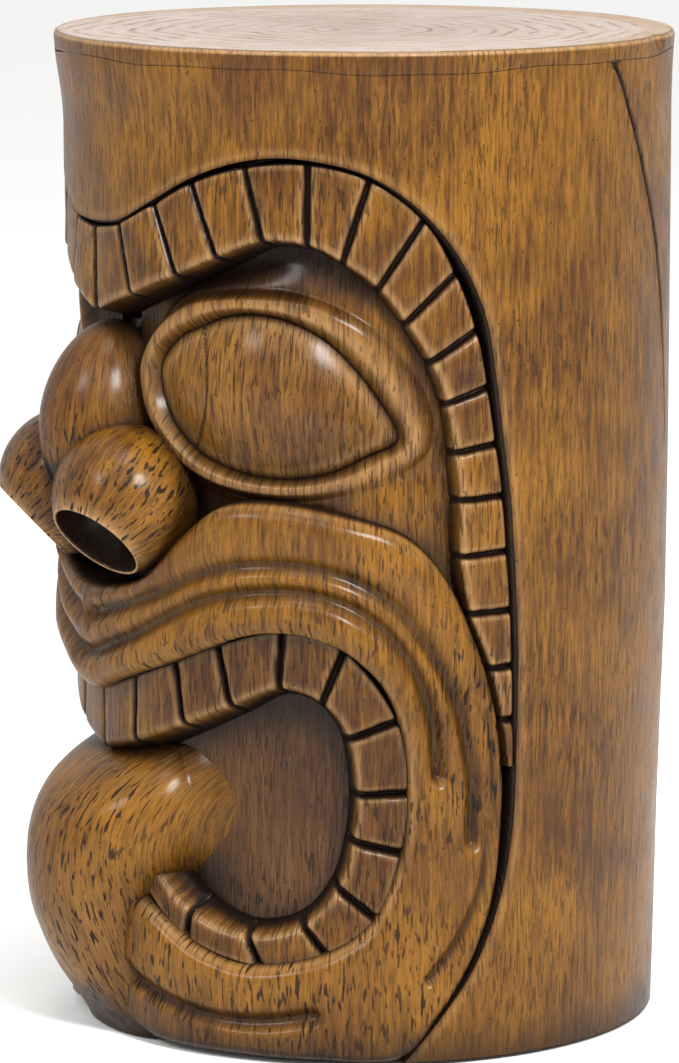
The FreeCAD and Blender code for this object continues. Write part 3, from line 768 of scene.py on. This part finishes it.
@dataclass
class Nose:
    """The bridge and the two nostrils; free shapes in (x, y, z) mm that stand out."""

    bridge_at: Triple = (0.0, -124.5, 269.0)
    bridge_size: Triple = (27.5, 28.5, 42.0)
    nostril_at: Triple = (28.5, -127.6, 237.5)
    aim: Triple = (0.2, -0.7, -0.69)
    radius: float = 32.0
    cut: float = 0.733  # where the opening cuts the ball, in radii
    lip: float = 0.8  # radius of the opening's rounded lip
    bore_depth: float = 27.0
    grain_radius: float = 27.0  # mm of grain in a radian of turn

    def bridge(self) -> Skin:
        """Egg on end: an ellipsoid whose upper end is drawn in and pushed back."""
        turn = np.linspace(0, 2 * math.pi, 120, endpoint=False)[:, None]
        rise = np.linspace(-math.pi / 2 + 0.01, math.pi / 2 - 0.01, 90)[None, :]
        up = np.sin(rise)
        girth = np.cos(rise) * (1 - 0.12 * up)
        wide, deep, tall = self.bridge_size
        x = wide * girth * np.sin(turn)
        y = -deep * girth * np.cos(turn) + 4.0 * np.clip(up, 0, 1) ** 2
        z = tall * up + 0 * turn
        points = np.stack([x, y, z], -1) + np.array(self.bridge_at)
        uv = np.stack([np.broadcast_to(turn, x.shape) * self.grain_radius, points[..., 2]], -1)
        # painted shade: darker at the foot, under the brow and where the sides meet the face
        dark = 0.9 * ramp(-points[..., 2], -258, -246) + 0.5 * ramp(points[..., 2], 300, 310)
        dark = dark + 0.8 * ramp(points[..., 1], -116, -104)
        return Skin(points, uv, dark, 0 * dark, closed_u=True)

    def nostril(self, side: int) -> Skin:
        """A cup turned about its aim: round back, thin worn lip, deep bore.

        Profile from the back pole: a circle to the lip, a half circle over the lip, then
        a bore that narrows to a point.

        Args:
            side: 1 for the figure's left, -1 for its right.

        Returns:
            The skin, one ring of points per place on the profile.
        """
        edge = self.cut * self.radius
        reach = math.sqrt(self.radius**2 - edge**2)
        back = np.linspace(0.02, math.pi - math.acos(edge / self.radius), 62)
        over = np.linspace(0, math.pi, 9)[1:-1]
        depth = np.linspace(0, 1, 26)
        bore = np.maximum((reach - 1.7) * np.cos(depth * 1.52) ** 0.55, 0.05)
        axis = np.concatenate([-self.radius * np.cos(back), edge + self.lip * np.sin(over),
                               edge - self.bore_depth * depth])[None, :]
        girth = np.concatenate([self.radius * np.sin(back),
                                reach - self.lip * (1 - np.cos(over)), bore])[None, :]
        turn = np.linspace(0, 2 * math.pi, 130, endpoint=False)[:, None]
        n = np.array([self.aim[0] * side, self.aim[1], self.aim[2]])
        n = n / np.linalg.norm(n)
        across = np.cross(n, [0, 0, 1.0])
        across /= np.linalg.norm(across)
        upward = np.cross(across, n)
        offset = (axis[..., None] * n + (girth * np.cos(turn))[..., None] * across
                  + (girth * np.sin(turn))[..., None] * upward)
        centre = np.array([self.nostril_at[0] * side, self.nostril_at[1], self.nostril_at[2]])
        points = centre + offset
        place_on = np.arange(axis.shape[1])
        inside = place_on >= len(back) + len(over) - 1
        uv = np.stack([np.broadcast_to(turn * self.grain_radius, points.shape[:2]),
                       np.broadcast_to(axis * 1.6, points.shape[:2])], -1)
        # painted shade: the bore fully dark, the cup darker where it meets the face and between the
        # nostrils
        dark = np.where(inside, 1.0, 0.0)[None, :] + 0 * turn
        dark = dark + 0.75 * ramp(points[..., 1], -114, -102) * ~inside
        dark = dark + 0.6 * bell(points[..., 0], 5) * ~inside
        # lighter on the lip: rubbing and painted highlight
        lipness = bell(place_on - (len(back) + 2.0), 4.5)[None, :]
        return Skin(points, uv, dark, 0.9 * lipness + 0 * turn, closed_u=True)


@dataclass
class Tongue:
    """The chin and tongue: oval sections stacked up the front, flared where they root."""

    root: float = 106.0  # how far in front of the log's axis the ovals sit
    rows: int = 120
    around: int = 130
    oval_share: float = 0.62  # share of the places round that lie on the oval
    under: float = 5.0  # how far the back edge lies under the face's floor

    def skin(self) -> Skin:
        """Sections from TONGUE; past the oval's sides a hollow fillet runs into the floor.

        On the oval x = half width times sin, y = -(root + reach cos). On the fillet the
        distance from the log's axis falls from the oval's side to the floor with a power of
        what is left, so that it leaves steeply and lands flat. It is widest at the top.

        Returns:
            The open skin; its back edge lies under the floor of the face.
        """
        table = np.array(TONGUE, float)
        h = np.linspace(table[0, 0], table[-1, 0], self.rows)
        wide, reach = (a[:, None] for a in hermite(table[:, 0], table[:, 1:], h).T)
        turn = np.linspace(-1, 1, self.around)[None, :]
        side, share = np.sign(turn), self.oval_share
        oval = np.clip(np.abs(turn) / share, 0, 1) * math.pi / 2
        tail = np.clip((np.abs(turn) - share) / (1 - share), 0, 1)
        x = side * wide * np.sin(oval) ** 0.9
        y = -(self.root + (reach + 5) * np.cos(oval) ** 0.92)
        spread = 5 + 34 * ramp(h, 62, 104)[:, None]
        s = side * (ROUND * np.arctan2(wide, self.root) + spread * tail)
        low = FLOOR_R - self.under
        r = low + (np.hypot(wide, self.root) - low) * (1 - tail) ** 2.4
        fillet = wrap(s, h[:, None], r)
        oval_points = np.stack([x, y, fillet[..., 2]], -1)
        points = np.where((tail <= 0)[..., None], oval_points, fillet)
        middle = self.around // 2
        over = np.diff(points, axis=1, prepend=points[:, :1])
        up = np.diff(points, axis=0, prepend=points[:1])
        across = np.cumsum(np.linalg.norm(over, axis=-1), axis=1)
        along = np.cumsum(np.linalg.norm(up, axis=-1), axis=0)
        across = across - across[:, middle:middle + 1]
        high = ramp(h, 60, 90)[:, None]
        # painted shade: darker where the oval meets the fillet low down, at the foot, and over the
        # fillet up high
        dark = (0.5 * bell(np.abs(turn) - share, 0.10) * (1 - high)
                + 0.45 * ramp(-h, -12, 0)[:, None] + 0.46 * ramp(np.abs(turn), 0.42, 0.78) * high)
        # lighter down the middle of the front: painted highlight and rubbing
        wear_and_highlight = 0.3 * bell(turn, 0.4) * bell(h - 40, 30)[:, None]
        return Skin(points, np.stack([across, along], -1), dark, wear_and_highlight)


# ---- finishes ----
class Graph:
    """Short names for the shader nodes of one material.

    The methods from math to bump add a node and return its output socket. A Value may be
    a number, a colour or another node's output; a source is always an output.
    """

    def __init__(self, name: str) -> None:
        """Start an empty material with its shader and output."""
        self.material = bpy.data.materials.new(name)
        self.material.use_nodes = True
        self.nodes = self.material.node_tree.nodes
        self.links = self.material.node_tree.links
        self.nodes.clear()
        output = self.nodes.new("ShaderNodeOutputMaterial")
        self.shader = self.nodes.new("ShaderNodeBsdfPrincipled")
        self.link(self.shader.outputs[0], output.inputs[0])

    def link(self, source: Socket, target: Socket) -> None:
        """Join two sockets."""
        self.links.new(source, target)

    def feed(self, target: Socket, value: Value) -> None:
        """Give a socket a number, a colour or another node's output.

        Args:
            target: the socket to set or link.
            value: what to give it; None leaves the socket as it is.
        """
        if isinstance(value, Socket):
            self.link(value, target)
        elif isinstance(value, tuple):
            target.default_value = (*value, 1.0)
        elif value is not None:
            target.default_value = value

    def math(self, kind: str, a: Value, b: Value = None, c: Value = None,
             clamp: bool = False) -> Socket:
        """A Math node."""
        node = self.nodes.new("ShaderNodeMath")
        node.operation, node.use_clamp = kind, clamp
        for socket, value in zip(node.inputs, (a, b, c)):
            self.feed(socket, value)
        return node.outputs[0]

    def blend(self, amount: Value, a: Value, b: Value) -> Socket:
        """A Mix node for colours: a where the amount is 0, b where it is 1."""
        node = self.nodes.new("ShaderNodeMix")
        node.data_type = "RGBA"
        colour_a, colour_b, colour_out = 6, 7, 2  # the node's own numbers for its colours
        self.feed(node.inputs[0], amount)
        self.feed(node.inputs[colour_a], a)
        self.feed(node.inputs[colour_b], b)
        return node.outputs[colour_out]

    def span(self, value: Value, low: float, high: float, to_low: float = 0.0,
             to_high: float = 1.0) -> Socket:
        """A smooth Map Range node: to_low below low, to_high above high."""
        node = self.nodes.new("ShaderNodeMapRange")
        node.interpolation_type = "SMOOTHSTEP"
        self.feed(node.inputs[0], value)
        for socket, number in zip(node.inputs[1:5], (low, high, to_low, to_high)):
            socket.default_value = number
        return node.outputs[0]

    def stretch(self, source: Socket, scale: Triple, turn: float = 0.0) -> Socket:
        """A Mapping node: scaled along each axis and turned about the third, in radians."""
        node = self.nodes.new("ShaderNodeMapping")
        self.link(source, node.inputs[0])
        node.inputs["Scale"].default_value = scale
        node.inputs["Rotation"].default_value = (0, 0, turn)
        return node.outputs[0]

    def noise(self, source: Socket, scale: float, detail: float = 3.0,
              rough: float = 0.55, warp: float = 0.0) -> Socket:
        """A Noise texture's value."""
        node = self.nodes.new("ShaderNodeTexNoise")
        self.link(source, node.inputs["Vector"])
        for word, number in (("Scale", scale), ("Detail", detail), ("Roughness", rough),
                             ("Distortion", warp)):
            node.inputs[word].default_value = number
        return node.outputs[0]

    def coordinate(self, word: str) -> Socket:
        """Object coordinates, or the piece's own UV map."""
        if word == "UV":
            node = self.nodes.new("ShaderNodeUVMap")
            node.uv_map = "grain"
            return node.outputs[0]
        return self.nodes.new("ShaderNodeTexCoord").outputs[word]

    def attribute(self, word: str) -> Socket:
        """A value stored on the mesh's points."""
        node = self.nodes.new("ShaderNodeAttribute")
        node.attribute_name = word
        return node.outputs["Fac"]

    def hollow(self, reach: float) -> Socket:
        """How shut in the surface is within a reach: 0 in the open, 1 deep in a crease."""
        node = self.nodes.new("ShaderNodeAmbientOcclusion")
        node.samples = 10
        node.inputs["Distance"].default_value = reach
        return self.math("SUBTRACT", 1.0, node.outputs["AO"])

    def bump(self, height: Value, strength: float, distance: float,
             normal: Value = None) -> Socket:
        """A Bump node."""
        node = self.nodes.new("ShaderNodeBump")
        node.inputs["Strength"].default_value = strength
        node.inputs["Distance"].default_value = distance
        self.feed(node.inputs["Height"], height)
        self.feed(node.inputs["Normal"], normal)
        return node.outputs[0]

    def finish(self, colour: Value, rough: Value, normal: Value, **gloss: float) -> None:
        """Feed the shader.

        Args:
            colour: the base colour.
            rough: the roughness.
            normal: the normal, from a bump.
            gloss: specular, coat and coat_rough; one left out keeps the shader's own.
        """
        for word, value in (("Base Color", colour), ("Roughness", rough), ("Normal", normal),
                            ("Specular IOR Level", gloss.get("specular")),
                            ("Coat Weight", gloss.get("coat")),
                            ("Coat Roughness", gloss.get("coat_rough"))):
            self.feed(self.shader.inputs[word], value)


@dataclass(frozen=True)
class Varnish:
    """Cast wood look under satin varnish: blotchy stain, grain marks, dirt, painted shade, wear
    and painted highlights.

    A mesh brings "dark" for its painted dirt and painted shade, and a wear value for its
    rubbed edges and painted highlights, both 0 to 1.
    """

    ochre: Triple = (0.178, 0.074, 0.006)
    brown: Triple = (0.046, 0.0145, 0.0022)
    russet: Triple = (0.046, 0.012, 0.003)
    # near black: for grain marks and pores, and for painted dirt and painted shade
    dirt_and_shade: Triple = (0.005, 0.0018, 0.0008)
    # light ochre: rubbed edges and painted highlights
    rubbed_and_highlight: Triple = (0.30, 0.17, 0.07)
    grain: Grain = Grain.FINE
    marks: float = 0.6  # how strong the short dark grain marks are
    shade: float = 0.0  # how far the whole piece leans to brown
    crease_reach: float = 0.030  # how near another surface must be for the painted shade, metres

    def wood(self, g: Graph) -> tuple[Socket, Socket, Socket]:
        """Colour, roughness and normal of the stained surface.

        Args:
            g: the material being built.

        Returns:
            The colour, roughness and normal sockets.
        """
        at, uv = g.coordinate("Object"), g.coordinate("UV")
        dark, wear_and_highlight = g.attribute("dark"), g.attribute("wear_and_highlight")
        blotch = g.noise(at, 11.0, 3.0, 0.55, 0.6)
        cloud = g.noise(at, 34.0, 4.0, 0.6)
        streak = g.noise(g.stretch(uv, (34, 2.6, 1)), 1.0, 4.0, 0.62)
        fine = g.noise(g.stretch(uv, (95, 7.0, 1)), 1.0, 3.0, 0.6)
        dash = g.noise(g.stretch(uv, self.grain.value, 0.05), 1.0, 1.5, 0.5, 0.35)
        patch = g.span(g.noise(at, 17.0, 2.0), 0.38, 0.62, 0.25, 1.0)
        dashes = g.math("MULTIPLY", g.span(dash, 0.575, 0.645), patch)
        pores = g.span(g.noise(at, 520.0, 1.0), 0.72, 0.78)
        tone = g.math("ADD", g.math("MULTIPLY", blotch, 0.55), g.math("MULTIPLY", streak, 0.55))
        tone = g.math("ADD", tone, g.math("MULTIPLY", cloud, 0.25))
        lean = 0.12 * self.shade
        colour = g.blend(g.span(tone, 0.47 + lean, 0.84 + lean), self.brown, self.ochre)
        tall = g.noise(g.stretch(at, (1, 1, 0.45)), 23.0, 2.0, 0.5, 0.4)
        colour = g.blend(g.span(tall, 0.52, 0.74, 0, 0.5), colour, self.russet)
        colour = g.blend(g.span(fine, 0.42, 0.68, 0.0, 0.62), colour,
                         g.blend(0.75, colour, self.dirt_and_shade))
        # lighter where rubbed, and painted highlights on edges and crests
        colour = g.blend(g.math("MULTIPLY", wear_and_highlight, g.span(streak, 0.3, 0.6, 0.45, 1.0)),
                         colour, self.rubbed_and_highlight)
        colour = g.blend(g.math("MULTIPLY", dashes, self.marks), colour, self.dirt_and_shade)
        colour = g.blend(g.math("MULTIPLY", pores, 0.75), colour, self.dirt_and_shade)
        # painted shade where other surfaces stand near, from ambient occlusion, then the dark
        # value, painted dirt and painted shade, with a ragged edge
        # painted shade: darker where ambient occlusion finds other surfaces near
        shut = g.span(g.hollow(self.crease_reach), 0.05, 0.52, 0.0, 0.95)
        colour = g.blend(shut, colour, g.blend(0.85, colour, self.dirt_and_shade))
        ragged = g.math("ADD", dark, g.math("MULTIPLY", g.math("SUBTRACT", cloud, 0.5),
                                            g.math("MULTIPLY", dark, 0.9)))
        colour = g.blend(g.span(ragged, 0.04, 1.0, 0.0, 0.97), colour, self.dirt_and_shade)
        rough = g.math("ADD", g.span(cloud, 0.3, 0.7, 0.30, 0.44),
                       g.math("MULTIPLY", dark, 0.22), clamp=True)
        rough = g.math("ADD", rough, g.math("MULTIPLY", dashes, 0.2), clamp=True)
        lumps = g.bump(g.noise(at, 60.0, 2.0), 0.35, 0.0016)
        relief = g.math("SUBTRACT", fine, g.math("MULTIPLY", dashes, 1.1))
        lines = g.bump(relief, 0.9, 0.0009, lumps)
        normal = g.bump(g.math("SUBTRACT", 1.0, pores), 0.5, 0.0004, lines)
        return colour, rough, normal

    def make(self, name: str) -> bpy.types.Material:
        """The finished material."""
        g = Graph(name)
        colour, rough, normal = self.wood(g)
        g.finish(colour, rough, normal, specular=0.10, coat=0.16, coat_rough=0.19)
        return g.material


@dataclass(frozen=True)
class SawnEnd(Varnish):
    """The top: pale sawn end grain with rings, browner at the edge and down the side."""

    pale: Triple = (0.36, 0.28, 0.235)
    dusty: Triple = (0.27, 0.20, 0.155)
    ring: Triple = (0.16, 0.10, 0.065)
    rim: Triple = (0.27, 0.17, 0.085)
    face_height: float = 0.4308  # over this height the sawn end shows, metres
    heart: tuple[float, float] = (0.008, -0.012)  # the middle of the rings, metres
    ring_wave: float = 640.0  # radians of ring wave in a metre

    def make(self, name: str) -> bpy.types.Material:
        """The finished material."""
        g = Graph(name)
        colour, rough, normal = self.wood(g)
        at = g.coordinate("Object")
        split = g.nodes.new("ShaderNodeSeparateXYZ")
        g.link(at, split.inputs[0])
        x = g.math("SUBTRACT", split.outputs[0], self.heart[0])
        y = g.math("SUBTRACT", split.outputs[1], self.heart[1])
        far = g.math("SQRT", g.math("ADD", g.math("MULTIPLY", x, x), g.math("MULTIPLY", y, y)))
        flat = g.stretch(at, (1, 1, 0))
        wobble = g.noise(flat, 9.0, 4.0, 0.55)
        bent = g.math("ADD", far, g.math("MULTIPLY", g.math("SUBTRACT", wobble, 0.5), 0.05))
        beat = g.math("SINE", g.math("MULTIPLY", bent, self.ring_wave))
        slow = g.noise(flat, 38.0, 2.0)
        rings = g.math("MULTIPLY", g.span(beat, 0.35, 1.0), g.span(slow, 0.35, 0.62, 0.15, 0.85))
        speck = g.noise(flat, 260.0, 3.0)
        end = g.blend(g.span(speck, 0.35, 0.7, 0.0, 0.5), self.pale, self.dusty)
        end = g.blend(rings, end, self.ring)
        edge = g.span(far, 0.121, 0.133)
        end = g.blend(g.math("MULTIPLY", edge, 0.8), end, self.rim)
        on_top = g.span(split.outputs[2], self.face_height, self.face_height + 0.0009)
        wood_left = g.math("MULTIPLY", g.math("SUBTRACT", 1.0, rings), on_top)
        g.finish(g.blend(on_top, colour, end), rough, g.bump(wood_left, 0.5, 0.0006, normal),
                 specular=0.15, coat=0.1, coat_rough=0.25)
        return g.material


@dataclass(frozen=True)
class Plain:
    """A plain finish with a little mottling, for the base, its pad and the floor."""

    colour: Triple
    rough: float = 0.8
    mottle: float = 0.15
    scale: float = 150.0

    def make(self, name: str) -> bpy.types.Material:
        """The finished material."""
        g = Graph(name)
        cloud = g.noise(g.coordinate("Object"), self.scale, 4.0)
        deep = tuple(c * (1 - self.mottle) for c in self.colour)
        g.finish(g.blend(cloud, deep, self.colour), self.rough, g.bump(cloud, 0.2, 0.0005))
        return g.material


# ---- the studio ----
def stand(azimuth: float, far: float, height: float) -> Vector:
    """A place round the figure, in metres; azimuth in degrees from the face to its left."""
    a = math.radians(azimuth)
    return Vector((far * math.sin(a), -far * math.cos(a), height))


@dataclass(frozen=True)
class Lamp:
    """One square soft light aimed at the figure's middle."""

    name: str
    azimuth: float  # degrees
    height: float  # metres, as are far and size
    far: float
    size: float
    power: float  # watts

    def build(self) -> None:
        """Put the light in the scene."""
        data = bpy.data.lights.new(self.name, "AREA")
        data.size, data.energy = self.size, self.power
        lamp = show(self.name, data)
        lamp.location = stand(self.azimuth, self.far, self.height)
        aim = Vector((0, 0, 0.22)) - lamp.location
        lamp.rotation_euler = aim.to_track_quat("-Z", "Y").to_euler()


@dataclass
class Studio:
    """Pale floor, soft lights and the camera. Metres and degrees; the lens in mm."""

    azimuth: float = 63.0
    distance: float = 2.46
    eye_height: float = 0.6185
    pitch: float = -9.44
    turn_left: float = 0.248
    lens: float = 191.7
    half_floor: float = 6.0
    lamps: tuple[Lamp, ...] = (Lamp("key", 86, 1.7, 2.0, 0.6, 88),
                               Lamp("front", 14, 1.7, 2.2, 0.6, 24),
                               Lamp("crown", 50, 2.4, 0.7, 0.8, 16))

    def floor(self) -> None:
        """A wide plain floor."""
        mesh = bpy.data.meshes.new("floor")
        e = self.half_floor
        mesh.from_pydata([(-e, -e, 0), (e, -e, 0), (e, e, 0), (-e, e, 0)], [], [(0, 1, 2, 3)])
        mesh.materials.append(Plain((0.86, 0.86, 0.85), 0.9, 0.0).make("pale_floor"))
        show("floor", mesh)

    def camera(self) -> None:
        """The camera, level across, looking a little down and a touch left of the axis."""
        data = bpy.data.cameras.new("camera")
        data.lens, data.sensor_width = self.lens, 36.0
        eye = show("camera", data)
        eye.location = stand(self.azimuth, self.distance, self.eye_height)
        look, p = math.radians(self.azimuth + self.turn_left), math.radians(self.pitch)
        way = Vector((-math.sin(look) * math.cos(p), math.cos(look) * math.cos(p), math.sin(p)))
        eye.rotation_euler = way.to_track_quat("-Z", "Y").to_euler()
        bpy.context.scene.camera = eye

    def build(self) -> None:
        """Floor, camera, lights and an even pale surround."""
        self.floor()
        self.camera()
        for lamp in self.lamps:
            lamp.build()
        world = bpy.data.worlds.new("surround")
        world.use_nodes = True
        back = world.node_tree.nodes["Background"]
        back.inputs["Color"].default_value = (1.0, 1.0, 1.0, 1.0)
        back.inputs["Strength"].default_value = 1.0
        bpy.context.scene.world = world
        bpy.context.scene.view_settings.view_transform = "Standard"


def main() -> None:
    """Build every piece, dress it and set it in the studio."""
    logging.basicConfig(level=logging.INFO, format="%(name)s: %(message)s")
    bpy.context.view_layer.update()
    wood = Varnish(shade=0.3).make("varnished_wood")
    log_wood = Varnish(marks=0.35, shade=-0.15).make("varnished_log")
    face_wood = Varnish(grain=Grain.COARSE, marks=0.95, shade=-0.2).make("varnished_face")
    teeth_wood = Varnish(marks=0.7, shade=0.75).make("varnished_teeth")
    mouth_wood = Varnish(marks=0.8, shade=0.3, ochre=(0.115, 0.050, 0.014),
                         brown=(0.045, 0.018, 0.006)).make("varnished_mouth")
    end_wood = SawnEnd(marks=0.5, shade=0.1).make("sawn_end")
    log, face, nose, tongue = Log(), Face(), Nose(), Tongue()

    place(log.shell().build("visual_log"), log_wood, "log_shell")
    place(log.foot_ring().build("visual_log_foot"), log_wood, "log_shell")
    place(log.disc().build("visual_top"), end_wood, "top_disc")
    place(face.floor().build("visual_face_floor"), mouth_wood, "face_tray")
    place(face.lips().build("visual_lips"), face_wood, "lips")
    for side, word in ((1, "left"), (-1, "right")):
        for skin, name, finish in ((face.brow(side), "brow_band_", wood),
                                   (face.teeth(side), "teeth_", teeth_wood),
                                   (face.eye_panel(side), "eye_panel_", wood),
                                   (face.eyeball(side), "eyeball_", wood),
                                   (nose.nostril(side), "nostril_", face_wood)):
            place(skin.build("visual_" + name + word), finish, name + word)
    place(nose.bridge().build("visual_nose"), face_wood, "nose_bulb")
    place(tongue.skin().build("visual_tongue"), face_wood, "tongue")
    for node, finish in (("base_plate", Plain((0.075, 0.036, 0.016), 0.7)),
                         ("base_pad", Plain((0.05, 0.05, 0.05), 0.95))):
        material = finish.make(node + "_finish")
        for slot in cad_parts[node].material_slots:
            slot.material = material
    Studio().build()


if __name__ == "__main__":
    main()
